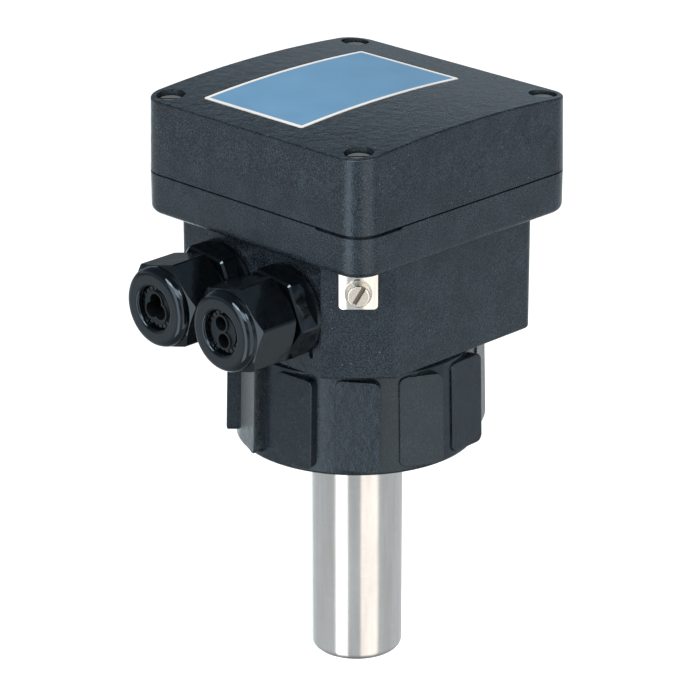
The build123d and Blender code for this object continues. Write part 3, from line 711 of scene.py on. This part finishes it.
# %% Two skies
SKY_STRENGTH = 1.3
world = bpy.data.worlds.new("studio")
bpy.context.scene.world = world
world.use_nodes = True
sky = world.node_tree
direction = put(sky, "ShaderNodeTexCoord").outputs["Generated"]
height = put(sky, "ShaderNodeSeparateXYZ", {"Vector": direction}).outputs["Z"]
level = put(sky, "ShaderNodeMapRange", {"Value": height, "From Min": -1.0})
lit = put(sky, "ShaderNodeValToRGB", {"Fac": level}, [
    (0.0, "#cdcdcd"), (0.5, "#b5b8ba"), (0.8, "#f4f6f8"), (1.0, "#ffffff"),
])
mirrored = put(sky, "ShaderNodeValToRGB", {"Fac": level}, [
    (0.0, "#6b6e70"), (0.2, "#a9adaf"), (0.29, "#bdc1c3"), (0.36, "#bbbfc1"), (0.45, "#8d9397"),
    (0.52, "#545b60"), (0.6, "#b3c0c7"), (0.64, "#79858d"), (0.74, "#4c565e"), (1.0, "#343d44"),
])
in_gloss = put(sky, "ShaderNodeLightPath").outputs["Is Glossy Ray"]
seen = put(sky, "ShaderNodeMix", {0: in_gloss, 6: lit, 7: mirrored}, data_type="RGBA")
backdrop = sky.nodes["Background"]
sky.links.new(seen.outputs[2], backdrop.inputs["Color"])
backdrop.inputs["Strength"].default_value = SKY_STRENGTH
print("sky strength:", SKY_STRENGTH)

# %% [markdown]
# ## Soft boxes
# Two soft boxes, in front and to the right, give the surfaces their shading. A direction is
# given by two angles, as on a turntable, and each box looks back at the middle of the meter.

# %% Soft boxes
def towards(azimuth, elevation):
    """A direction from the meter, in degrees: azimuth from the front (-Y) to the right."""
    turn, rise = math.radians(azimuth), math.radians(elevation)
    level_out = math.cos(rise)
    return Vector((math.sin(turn) * level_out, -math.cos(turn) * level_out, math.sin(rise)))


def soft_panel(name, azimuth, elevation, distance, width, height, watts):
    """A soft box that looks at the middle of the meter from the given direction."""
    lamp = bpy.data.lights.new(name, "AREA")
    lamp.shape = "RECTANGLE"
    lamp.size = width
    lamp.size_y = height
    lamp.energy = watts
    panel = bpy.data.objects.new(name, lamp)
    bpy.context.scene.collection.objects.link(panel)
    away = towards(azimuth, elevation)
    panel.location = away * distance
    panel.rotation_euler = away.to_track_quat("Z", "Y").to_euler()
    panel.visible_camera = False
    return panel


lamps = [
    soft_panel("panel_left", 5, 35, 1.2, 0.5, 1.0, 12),
    soft_panel("panel_right", 95, 30, 1.3, 0.35, 1.0, 7),
]
print("soft boxes:", [lamp.name for lamp in lamps])

# %% [markdown]
# ## Cards
# Upright lit cards, bent round the meter, are what a photographer sets up to draw bands on
# metal: two for the finger and the rounded corner, one behind, and a high one for the domes
# of the cable glands. Only mirrors see them, so their strength can be set without changing
# the light.

# %% Cards
CARD_STEPS = 12


def strip_card(name, start, end, distance, low, high, colour, strength):
    """A card from azimuth start to end, in degrees, and from height low to high, in metres."""
    bm = bmesh.new()
    edge = towards(start, 0) * distance
    foot = bm.verts.new((edge.x, edge.y, low))
    head = bm.verts.new((edge.x, edge.y, high))
    bm.edges.new((foot, head))
    bmesh.ops.spin(
        bm, geom=bm.verts[:] + bm.edges[:], cent=(0, 0, 0), axis=(0, 0, 1), steps=CARD_STEPS,
        angle=math.radians(end - start),
    )
    mesh = bpy.data.meshes.new(name)
    bm.to_mesh(mesh)
    bm.free()
    card = bpy.data.objects.new(name, mesh)
    bpy.context.scene.collection.objects.link(card)
    material = bpy.data.materials.new(name)
    material.use_nodes = True
    tree = material.node_tree
    tree.nodes.clear()
    glow = put(tree, "ShaderNodeEmission", {"Color": linear(colour), "Strength": strength})
    put(tree, "ShaderNodeOutputMaterial", {"Surface": glow})
    mesh.materials.append(material)
    card.visible_camera = False
    card.visible_diffuse = False
    card.visible_shadow = False
    return card


cards = [
    strip_card("strip_left", -8.7, 21.3, 0.5, -0.6, 0.4, "#ffffff", 2.2),
    strip_card("strip_right", 55.1, 99.7, 0.5, -0.6, 0.4, "#fff8f1", 1.5),
    strip_card("strip_back", 236, 258, 0.5, -0.6, -0.05, "#e7f9ff", 1.6),
    strip_card("card_front", 5, 78, 0.9, 0.45, 1.15, "#f6fcff", 4.5),
]
print("cards:", [card.name for card in cards])

# %% [markdown]
# ## The camera
# A long lens from a little above, at the corner that carries the earth terminal. The
# angles, the distance and the lens were found by fitting a camera to known points of the
# meter, so the render lies over the photograph to about a pixel.

# %% Camera
CAMERA_AZIMUTH = 44.51  # degrees
CAMERA_ELEVATION = 21.55
CAMERA_DISTANCE = 1.016  # m
CAMERA_LENS = 176.6  # mm
SENSOR_WIDTH = 36  # mm
AIM_SIDE = -0.00199  # m to the right of the axis
AIM_HEIGHT = 0.00649

away = towards(CAMERA_AZIMUTH, CAMERA_ELEVATION)
aim = towards(CAMERA_AZIMUTH + 90, 0) * AIM_SIDE + Vector((0, 0, AIM_HEIGHT))
lens = bpy.data.cameras.new("studio_camera")
lens.lens = CAMERA_LENS
lens.sensor_width = SENSOR_WIDTH
camera = bpy.data.objects.new("studio_camera", lens)
camera.location = aim + away * CAMERA_DISTANCE
camera.rotation_euler = away.to_track_quat("Z", "Y").to_euler()
bpy.context.scene.collection.objects.link(camera)
bpy.context.scene.camera = camera
bpy.context.scene.view_settings.view_transform = "Standard"
print("camera at", [round(c, 3) for c in camera.location])
